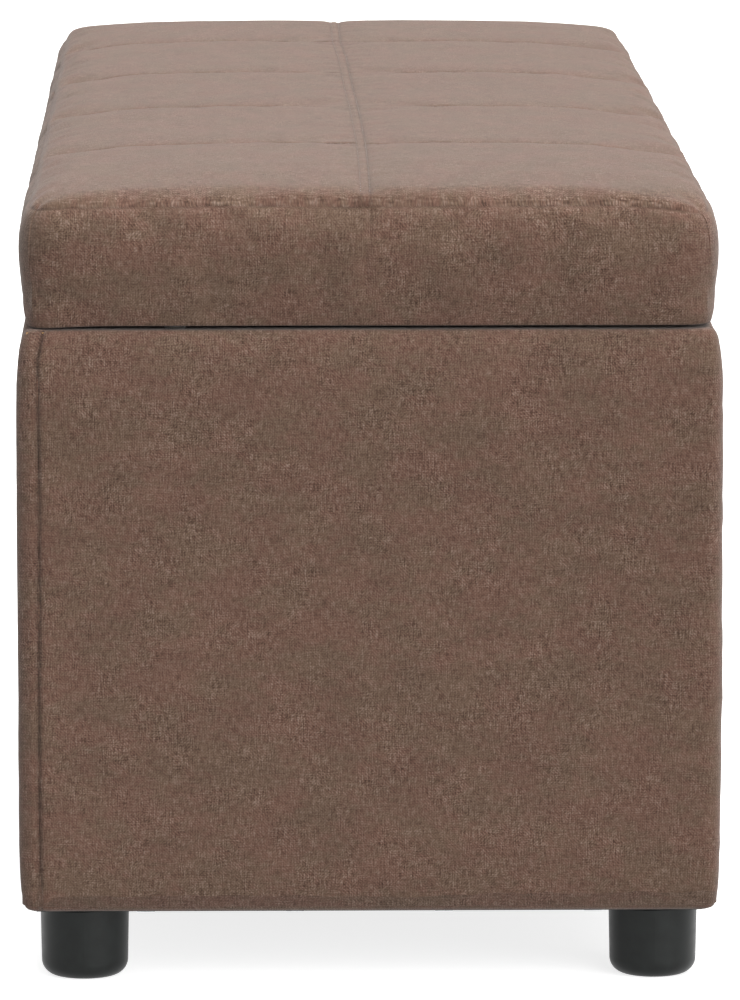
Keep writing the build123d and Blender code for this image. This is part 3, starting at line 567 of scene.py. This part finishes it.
    # the underside is closed with one flat face, after the subdivision
    shell = bmesh.new()
    shell.from_mesh(finished)
    bmesh.ops.edgeloop_fill(shell, edges=[e for e in shell.edges if e.is_boundary])
    shell.to_mesh(finished)
    shell.free()
    piece.data = finished
    finished.name = "seatCover"
    return piece


seatPiece = makeSeat(seat)
seatPiece.data.materials.clear()
seatPiece.data.materials.append(coverCloth)
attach(seatPiece, "lid")
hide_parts("lid_cover", "lid_wadding", "lid_foam")
print("seat made", len(seatPiece.data.polygons))

# sewing thread on the quilting
quilting = {"pitch": 4.4, "stitch": 3.3, "thread": 0.42, "clear": 9, "seed": 5, "rows": (-2.6, 2.6)}


def stitchTree():
    # lays one stitch at every pitch along each line it is given
    tree = bpy.data.node_groups.new("stitch rows", "GeometryNodeTree")
    tree.interface.new_socket("Lines", in_out="INPUT", socket_type="NodeSocketGeometry")
    ids = {}
    for name, kind in (("Pitch", "Float"), ("Stitch length", "Float"), ("Thread thickness", "Float"), ("Seed", "Int"),
                       ("Thread finish", "Material")):
        ids[name] = tree.interface.new_socket(name, in_out="INPUT", socket_type="NodeSocket" + kind).identifier
    tree.interface.new_socket("Stitches", in_out="OUTPUT", socket_type="NodeSocketGeometry")
    given = addNode(tree, "NodeGroupInput")
    path = addNode(tree, "GeometryNodeMeshToCurve", {"Mesh": given.outputs["Lines"]})
    even = addNode(tree, "GeometryNodeResampleCurve", {"Curve": path, "Length": given.outputs["Pitch"]}, mode="LENGTH")
    stitch = addNode(tree, "GeometryNodeMeshUVSphere", {"Segments": 6, "Rings": 5, "Radius": 0.5})
    turn = addNode(tree, "FunctionNodeAlignRotationToVector", {
        "Vector": addNode(tree, "GeometryNodeInputTangent")}, axis="X")
    vary = addNode(tree, "FunctionNodeRandomValue", {
        2: 0.85, 3: 1.08, "Seed": given.outputs["Seed"]}, data_type="FLOAT")
    long = addNode(tree, "ShaderNodeMath", {
        0: given.outputs["Stitch length"], 1: vary.outputs[1]}, operation="MULTIPLY")
    size = addNode(tree, "ShaderNodeCombineXYZ", {
        "X": long, "Y": given.outputs["Thread thickness"], "Z": given.outputs["Thread thickness"]})
    rows = addNode(tree, "GeometryNodeInstanceOnPoints", {
        "Points": even, "Instance": stitch, "Rotation": turn, "Scale": size})
    real = addNode(tree, "GeometryNodeRealizeInstances", {"Geometry": rows})
    round = addNode(tree, "GeometryNodeSetShadeSmooth", {"Geometry": real})
    dressed = addNode(tree, "GeometryNodeSetMaterial", {"Geometry": round, "Material": given.outputs["Thread finish"]})
    addNode(tree, "NodeGroupOutput", {"Stitches": dressed})
    return tree, ids


def makeStitches(name, lines, look, finish):
    points, edges = [], []
    for line in lines:
        edges += [(len(points) + k, len(points) + k + 1) for k in range(len(line) - 1)]
        points += line
    mesh = bpy.data.meshes.new(name)
    mesh.from_pydata(points, edges, [])
    piece = bpy.data.objects.new(name, mesh)
    bpy.context.scene.collection.objects.link(piece)
    tree, ids = stitchTree()
    sew = piece.modifiers.new("sew", "NODES")
    sew.node_group = tree
    for key, value in (("Pitch", look["pitch"] * mm), ("Stitch length", look["stitch"] * mm),
                       ("Thread thickness", look["thread"] * mm), ("Seed", look["seed"]), ("Thread finish", finish)):
        sew[ids[key]] = value
    sewn = bpy.data.meshes.new_from_object(piece.evaluated_get(bpy.context.evaluated_depsgraph_get()))
    piece.modifiers.clear()
    piece.data = sewn
    sewn.name = name
    return piece


def polyesterThread(name, code):
    # spun polyester thread: two plies twisted together, a faint sheen along the top of each stitch
    material, tree, bsdf = newMaterial(name, Roughness=0.9, Specular_IOR_Level=0.2)
    bsdf.inputs["Sheen Weight"].default_value = 0.5
    place = addNode(tree, "ShaderNodeTexCoord")
    ply = addNode(tree, "ShaderNodeTexWave", {
        "Vector": place.outputs["Object"], "Scale": 0.314 / (0.5 * mm), "Distortion": 2.0}, bands_direction="DIAGONAL")
    tint = addNode(tree, "ShaderNodeMix", {0: ply.outputs["Fac"], 6: hexToLinear(code), 7: hexToLinear("#3a2c25")},
                   data_type="RGBA")
    tree.links.new(tint.outputs[2], bsdf.inputs["Base Color"])
    return material


def onTop(tree, x, y):
    hit = tree.ray_cast(Vector((x, y, 0.6)), Vector((0, 0, -1)))[0]
    return (x, y, hit.z + 0.05 * mm)


seatTop = BVHTree.FromPolygons(
    [v.co for v in seatPiece.data.vertices], [tuple(f.vertices) for f in seatPiece.data.polygons])
lines = []
inX, inY = (seat["halfX"] - quilting["clear"]) * mm, (seat["halfY"] - quilting["clear"]) * mm
for cross in seat["crossSeams"]:
    for low, high in ((-inY, -6 * mm), (6 * mm, inY)):
        line = []
        for k in range(41):
            y = low + (high - low) * k / 40
            middle = 1 - min(1.0, abs(y) / (seat["halfY"] * mm)) ** 4
            line.append(onTop(seatTop, (cross + 1.2 * ripple(y, cross * mm, 60, 2.7)) * mm,
                              y + float(interpolate(seat["wander"], cross)) * mm * middle))
        lines.append(line)
for row in quilting["rows"]:
    line = []
    for k in range(161):
        x = -inX + 2 * inX * k / 160
        line.append(onTop(seatTop, x, (row + float(interpolate(seat["wander"], x / mm))) * mm))
    lines.append(line)
stitches = makeStitches("seatStitches", lines, quilting, polyesterThread("spun polyester thread", "#715a4c"))
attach(stitches, "lid")
print("quilting sewn", len(stitches.data.polygons))


# thin black non-woven cloths: the lining of the box, the dust cover and the cloth under the lid
def spunbond(name, code, pitch):
    # spunbonded polypropylene: matt, hairy fibres, welded in rows of small sunk dots
    material, tree, bsdf = newMaterial(name, Roughness=0.8, Specular_IOR_Level=0.3)
    bsdf.inputs["Sheen Weight"].default_value = 0.15
    uv = addNode(tree, "ShaderNodeUVMap", uv_map="cloth")
    turned = addNode(tree, "ShaderNodeMapping", {
        "Vector": uv, "Rotation": (0, 0, math.radians(45)), "Scale": (math.tau / (pitch * mm),) * 3})
    axes = addNode(tree, "ShaderNodeSeparateXYZ", {0: turned})
    waves = [addNode(tree, "ShaderNodeMath", {0: axes.outputs[i]}, operation="SINE") for i in (0, 1)]
    dots = addNode(tree, "ShaderNodeMath", {0: waves[0], 1: waves[1]}, operation="MULTIPLY")
    weld = addNode(tree, "ShaderNodeMapRange", {"Value": dots, "From Min": 0.35, "From Max": 0.7})
    fibres = addNode(tree, "ShaderNodeTexNoise", {
        "Vector": uv, "Scale": 1 / (0.9 * mm), "Detail": 3.0, "Roughness": 0.7})
    clouds = addNode(tree, "ShaderNodeTexNoise", {"Vector": uv, "Scale": 1 / (16 * mm), "Detail": 2.0})
    thick = addNode(tree, "ShaderNodeMath", {0: fibres, 1: 0.6, 2: clouds}, operation="MULTIPLY_ADD")
    light = addNode(tree, "ShaderNodeMapRange", {
        "Value": thick, "From Min": 0.5, "From Max": 1.1, "To Min": 0.6, "To Max": 1.7})
    level = addNode(tree, "ShaderNodeMath", {0: weld, 1: -0.35, 2: light}, operation="MULTIPLY_ADD")
    base = addNode(tree, "ShaderNodeVectorMath", {0: hexToLinear(code)[:3], 1: level}, operation="MULTIPLY")
    tree.links.new(base.outputs[0], bsdf.inputs["Base Color"])
    height = addNode(tree, "ShaderNodeMath", {0: weld, 1: -0.8, 2: fibres}, operation="MULTIPLY_ADD")
    bump = addNode(tree, "ShaderNodeBump", {"Strength": 0.5, "Distance": 0.25 * mm, "Height": height})
    tree.links.new(bump.outputs[0], bsdf.inputs["Normal"])
    return material


def makeSheet(name, us, vs, place, keep, thickness, finish, body):
    # a grid of cloth laid out flat in u and v, put in its place and given its thickness
    points = [place(u, v) for u in us for v in vs]
    faces, uvs = [], []
    count = len(vs)
    for i in range(len(us) - 1):
        for j in range(count - 1):
            if keep((us[i] + us[i + 1]) / 2, (vs[j] + vs[j + 1]) / 2):
                faces.append((i * count + j, (i + 1) * count + j, (i + 1) * count + j + 1, i * count + j + 1))
                uvs.append(((us[i], vs[j]), (us[i + 1], vs[j]), (us[i + 1], vs[j + 1]), (us[i], vs[j + 1])))
    piece = makeObject(name, points, faces, uvs)
    shell = bmesh.new()
    shell.from_mesh(piece.data)
    bmesh.ops.delete(shell, geom=[v for v in shell.verts if not v.link_faces], context="VERTS")
    bmesh.ops.remove_doubles(shell, verts=shell.verts[:], dist=0.05 * mm)
    shell.to_mesh(piece.data)
    shell.free()
    wall = piece.modifiers.new("thickness", "SOLIDIFY")
    wall.thickness, wall.offset = thickness * mm, 0.0
    piece.data.materials.append(finish)
    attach(piece, body)
    return piece


liningBox, dustBox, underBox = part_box("compartment_lining"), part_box("dust_cover"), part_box("lid_underlining")
lining = {"cloth": 0.6, "fold": 5, "crease": 1.1, "flatY": (112, 176), "flatZ": (122, 212), "step": 9}


def makeLining(c):
    half = [liningBox[1].x - 0.4 * mm, liningBox[1].y - 0.4 * mm]
    low = liningBox[0].z + 0.4 * mm
    wall = liningBox[1].z - 0.2 * mm - low
    r = c["fold"] * mm
    arc = r * math.pi / 2
    reach = [h - r + arc + wall - r for h in half]  # from the middle of the cloth to its top edge

    def folded(u, h):
        # how far out and how high a point of the cloth ends up
        past = abs(u) - (h - r)
        if past <= 0:
            return u, 0.0
        if past < arc:
            return math.copysign(h - r + r * math.sin(past / r), u), r * (1 - math.cos(past / r))
        return math.copysign(h, u), r + past - arc

    def place(u, v):
        x, up = folded(u, half[0])
        y, side = folded(v, half[1])
        if up > side:
            up, side = side, up
        z = low + side + min(up, r) * max(0.0, 1 - side / (40 * mm))
        z = min(z, low + wall)
        edge = max(0.0, min(1.0, (low + wall - z) / (20 * mm)))
        crease = c["crease"] * mm * max(0.0, ripple(u, v, 75, 4.4) + 0.5 * ripple(u, v, 26, 8.3)) * edge
        if abs(x) > half[0] - 1 * mm and c["flatY"][0] * mm < y < c["flatY"][1] * mm \
                and c["flatZ"][0] * mm < z < c["flatZ"][1] * mm:
            crease = 0.0
        corner = min(abs(abs(x) - half[0]), 9 * mm) / (9 * mm) * min(abs(abs(y) - half[1]), 9 * mm) / (9 * mm)
        if abs(x) > half[0] - 0.1 * mm:
            x -= math.copysign(crease * min(1.0, abs(abs(y) - half[1]) / (9 * mm)), x)
        elif abs(y) > half[1] - 0.1 * mm:
            y -= math.copysign(crease * min(1.0, abs(abs(x) - half[0]) / (9 * mm)), y)
        else:
            z += crease * corner
        return x, y, z

    lines = []
    for h, far in zip(half, reach):
        fold = [h - r + arc * k / 4 for k in range(5)]
        up = steps(fold[-1], far, c["step"] * mm)[1:]
        flat = steps(-(h - r), h - r, c["step"] * mm)
        lines.append([-x for x in reversed(fold[1:] + up)] + flat + fold[1:] + up)
    edgeX, edgeY = half[0] - r + arc, half[1] - r + arc
    piece = makeSheet("boxLining", lines[0], lines[1], place,
                      lambda u, v: not (abs(u) > edgeX and abs(v) > edgeY),
                      c["cloth"], spunbond("spunbond lining", "#29292b", 3.0), "base")
    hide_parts("compartment_lining")
    return piece


liningPiece = makeLining(lining)
print("lining made", len(liningPiece.data.polygons))

dustCover = {"cloth": 0.5, "sag": 2.6, "flatRim": 26, "step": 9, "hole": 5.2}
footNames = ("front_left", "front_right", "back_left", "back_right")
footXY = [((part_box(f"foot_{n}")[0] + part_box(f"foot_{n}")[1]) / 2) for n in footNames]
undersideSpunbond = spunbond("spunbond dust cover", "#242424", 2.4)


def makeDustCover(c):
    hx, hy, level = dustBox[1].x, dustBox[1].y, (dustBox[0].z + dustBox[1].z) / 2
    marksX = [f.x + e * c["hole"] * mm for f in footXY for e in (-1, 1)]
    marksY = [f.y + e * c["hole"] * mm for f in footXY for e in (-1, 1)]

    def place(u, v):
        inside = min(hx - abs(u), hy - abs(v)) / mm - c["flatRim"]
        feet = min(math.hypot(u - f.x, v - f.y) for f in footXY) / mm - 32
        share = max(0.0, min(1.0, inside / 60, feet / 60))
        sag = c["sag"] * share * (0.7 + 0.6 * ripple(u, v, 110, 3.7) + 0.25 * ripple(u, v, 30, 9.9))
        return u, v, level - max(0.0, sag) * mm

    piece = makeSheet(
        "dustCover", steps(-hx, hx, c["step"] * mm, marksX, (0,), 0.3),
        steps(-hy, hy, c["step"] * mm, marksY, (0,), 0.3), place,
        lambda u, v: all(abs(u - f.x) > c["hole"] * mm or abs(v - f.y) > c["hole"] * mm for f in footXY),
        c["cloth"], undersideSpunbond, "base")
    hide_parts("dust_cover")
    return piece


dustPiece = makeDustCover(dustCover)
underlining = {"cloth": 0.4, "sag": 1.6, "flatRim": 30, "step": 9, "hinge": 37.2, "hingeIn": 22.5}


def makeUnderlining(c):
    hx, hy, level = underBox[1].x, underBox[1].y, (underBox[0].z + underBox[1].z) / 2
    brackets = [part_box("strut_lid_bracket_left"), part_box("strut_lid_bracket_right")]
    marks = [x * mm + e * c["hinge"] * mm for x in seat["hingeX"] for e in (-1, 1)]

    def place(u, v):
        inside = min(hx - abs(u), hy - abs(v)) / mm - c["flatRim"]
        near = min(max(b[0].x - u, u - b[1].x, b[0].y - v, v - b[1].y) for b in brackets) / mm - 3
        share = max(0.0, min(1.0, inside / 50, near / 40))
        sag = c["sag"] * share * (0.6 + 0.7 * ripple(u, v, 95, 6.1) + 0.3 * ripple(u, v, 28, 2.9))
        return u, v, level - max(0.0, sag) * mm

    piece = makeSheet(
        "lidUnderlining", steps(-hx, hx, c["step"] * mm, marks, (0,), 0.3),
        steps(-hy, hy, c["step"] * mm, [0.2 - c["hingeIn"] * mm], (0,), 0.3), place,
        lambda u, v: not (
            v > 0.2 - c["hingeIn"] * mm and any(abs(u - x * mm) < c["hinge"] * mm for x in seat["hingeX"])),
        c["cloth"], spunbond("spunbond lid cloth", "#29292b", 3.0), "lid")
    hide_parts("lid_underlining")
    return piece


underPiece = makeUnderlining(underlining)
print("dust cover and lid cloth made", len(dustPiece.data.polygons), len(underPiece.data.polygons))

# felt pads that the lid comes down on
feltPads = {"radius": 6, "edge": 0.35, "fuzz": 0.12, "sides": 28}


def woolFelt(name):
    # pressed felt: matted fibres with no direction; the fibre tone is painted darker in the hollows of the fibre bump,
    # as shade
    material, tree, bsdf = newMaterial(name, Roughness=1.0, Specular_IOR_Level=0.1)
    bsdf.inputs["Sheen Weight"].default_value = 0.5
    place = addNode(tree, "ShaderNodeTexCoord")
    fibres = addNode(tree, "ShaderNodeTexNoise", {
        "Vector": place.outputs["Object"], "Scale": 1 / (0.7 * mm), "Detail": 4.0, "Distortion": 1.5})
    # painted shade: the noise that lowers the bump also darkens the colour, mixed with the fibre tone
    tint = addNode(tree, "ShaderNodeMix", {
        0: fibres, 6: hexToLinear("#1f1c1a"), 7: hexToLinear("#4c4640")}, data_type="RGBA")
    tree.links.new(tint.outputs[2], bsdf.inputs["Base Color"])
    bump = addNode(tree, "ShaderNodeBump", {"Strength": 0.8, "Distance": 0.2 * mm, "Height": fibres})
    tree.links.new(bump.outputs[0], bsdf.inputs["Normal"])
    return material


def makePads(c):
    low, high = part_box("felt_pads")
    r = c["radius"] * mm
    places = [(-0.38, low.y + r), (0.38, low.y + r), (low.x + r, -0.11), (high.x - r, -0.11)]
    points, faces = [], []
    levels = [(0, high.z), (0.4, high.z), (0.8, high.z), (1 - c["edge"] / c["radius"], high.z),
              (1.0, high.z - c["edge"] * mm),
              (1.0, (low.z + high.z) / 2), (1.0, low.z + c["edge"] * mm), (1 - c["edge"] / c["radius"], low.z),
              (0.8, low.z), (0.4, low.z), (0, low.z)]
    n = c["sides"]
    for px, py in places:
        first = len(points)
        for share, z in levels:
            for k in range(1 if share == 0 else n):
                a = math.tau * k / n
                fuzz = ripple(a, z, 1 / mm, 2.2 + px) + ripple(k * 3 * mm, z, 2, 1.2)
                rough = 1 - c["fuzz"] / c["radius"] * abs(fuzz)
                points.append((px + r * share * rough * math.cos(a), py + r * share * rough * math.sin(a), z))
        for k in range(n):
            m = (k + 1) % n
            faces.append((first, first + 1 + k, first + 1 + m))
            for ring in range(len(levels) - 3):
                a = first + 1 + ring * n
                faces.append((a + k, a + n + k, a + n + m, a + m))
            last = first + 1 + (len(levels) - 2) * n
            faces.append((last, last - n + m, last - n + k))
    piece = makeObject("feltPads", points, faces)
    piece.data.materials.append(woolFelt("pressed felt"))
    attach(piece, "lid")
    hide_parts("felt_pads")
    return piece


makePads(feltPads)
print("pads made")

# finishes of the parts that keep their shape
hardFinish = {
    # name, code, other code, metallic, roughness, size of the pattern, stretch along x y z, bump height,
    # how much the roughness varies, gloss
    "foot_plastic": ("moulded black polypropylene", "#0f1110", "#161918", 0.0, 0.4, 0.8, (1, 1, 1), 0.02, 0.10, 0.18),
    "panel_board": ("raw fibreboard", "#a07c52", "#8a6842", 0.0, 0.85, 1.6, (1, 1, 1), 0.08, 0.05, 0.5),
    "timber": ("planed softwood", "#c49a64", "#9d7241", 0.0, 0.6, 3.5, (0.04, 1, 1), 0.10, 0.10, 0.5),
    "zinc_steel": ("bright zinc plated steel", "#b9bcbf", "#9da2a8", 1.0, 0.34, 4.0, (1, 1, 1), 0.01, 0.22, 0.5),
    "black_steel": ("powder coated steel", "#19191a", "#242425", 0.0, 0.42, 1.1, (1, 1, 1), 0.03, 0.08, 0.5),
    "bright_rod": ("ground chromed rod", "#cfd1d3", "#b9bcbf", 1.0, 0.12, 0.35, (1, 1, 1), 0.004, 0.08, 0.5),
    "black_nylon": ("moulded black nylon", "#1a1a1b", "#232324", 0.0, 0.5, 0.6, (1, 1, 1), 0.03, 0.10, 0.5),
    "staple_wire": ("galvanised wire", "#a9acae", "#83878b", 1.0, 0.42, 1.2, (1, 1, 1), 0.02, 0.25, 0.5),
}


def hardMaterial(label, code, other, metallic, rough, size, stretch, relief, vary, gloss):
    material, tree, bsdf = newMaterial(label, Metallic=metallic, Specular_IOR_Level=gloss)
    place = addNode(tree, "ShaderNodeTexCoord")
    laid = addNode(tree, "ShaderNodeMapping", {
        "Vector": place.outputs["Object"], "Scale": tuple(s / (size * mm) for s in stretch)})
    grain = addNode(tree, "ShaderNodeTexNoise", {"Vector": laid, "Scale": 1.0, "Detail": 4.0, "Roughness": 0.6})
    broad = addNode(tree, "ShaderNodeTexNoise", {"Vector": laid, "Scale": 0.12, "Detail": 2.0})
    mixed = addNode(tree, "ShaderNodeMath", {0: grain, 1: 0.5, 2: broad}, operation="MULTIPLY_ADD")
    share = addNode(tree, "ShaderNodeMapRange", {"Value": mixed, "From Min": 0.55, "From Max": 0.95})
    tint = addNode(tree, "ShaderNodeMix", {0: share, 6: hexToLinear(code), 7: hexToLinear(other)}, data_type="RGBA")
    tree.links.new(tint.outputs[2], bsdf.inputs["Base Color"])
    dull = addNode(tree, "ShaderNodeMapRange", {"Value": mixed, "From Min": 0.5, "From Max": 1.0,
                                                "To Min": rough - vary / 2, "To Max": rough + vary / 2})
    tree.links.new(dull.outputs[0], bsdf.inputs["Roughness"])
    bump = addNode(tree, "ShaderNodeBump", {"Strength": 0.6, "Distance": relief * mm, "Height": grain})
    tree.links.new(bump.outputs[0], bsdf.inputs["Normal"])
    return material


finishes = {key: hardMaterial(*row) for key, row in hardFinish.items()}
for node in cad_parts.values():
    for place in node.material_slots:
        if place.material and place.material.name.split(".")[0] in finishes:
            place.material = finishes[place.material.name.split(".")[0]]
print("finishes given to the hard parts")

# light and floor
def plainWhite(name, code, rough):
    material, tree, bsdf = newMaterial(name, Roughness=rough)
    bsdf.inputs["Base Color"].default_value = hexToLinear(code)
    return material


studio = {
    "world": 0.6,
    "floorCode": "#c4c4c4", "floorGlow": 0.78,  # a lit table, so that the shadows stay pale
    "suns": [("key", 1.32, 50, (0.05, 0.2, 1.0)), ("fill", 0.78, 50, (0.9, 0.6, 0.4))],  # strength, softness, from
}
bpy.context.scene.view_settings.view_transform = "Standard"
floorMesh = bpy.data.meshes.new("floor")
floorMesh.from_pydata([(-14, -14, 0), (14, -14, 0), (14, 14, 0), (-14, 14, 0)], [], [(0, 1, 2, 3)])
floor = bpy.data.objects.new("floor", floorMesh)
bpy.context.scene.collection.objects.link(floor)
floorMesh.materials.append(plainWhite("pale floor", studio["floorCode"], 0.8))
floorShader = floorMesh.materials[0].node_tree.nodes["Principled BSDF"]
floorShader.inputs["Emission Color"].default_value = (1, 1, 1, 1)
floorShader.inputs["Emission Strength"].default_value = studio["floorGlow"]
floor.visible_diffuse = False  # it lights nothing, so the lower edges stay dark
world = bpy.data.worlds.new("studio")
bpy.context.scene.world = world
world.use_nodes = True
world.node_tree.nodes["Background"].inputs["Color"].default_value = (1, 1, 1, 1)
world.node_tree.nodes["Background"].inputs["Strength"].default_value = studio["world"]
for name, strength, soft, comesFrom in studio["suns"]:
    lamp = bpy.data.objects.new(name, bpy.data.lights.new(name, "SUN"))
    lamp.data.energy = strength * math.pi
    lamp.data.angle = math.radians(soft)
    lamp.rotation_euler = Vector(comesFrom).to_track_quat("Z", "Y").to_euler()
    bpy.context.scene.collection.objects.link(lamp)
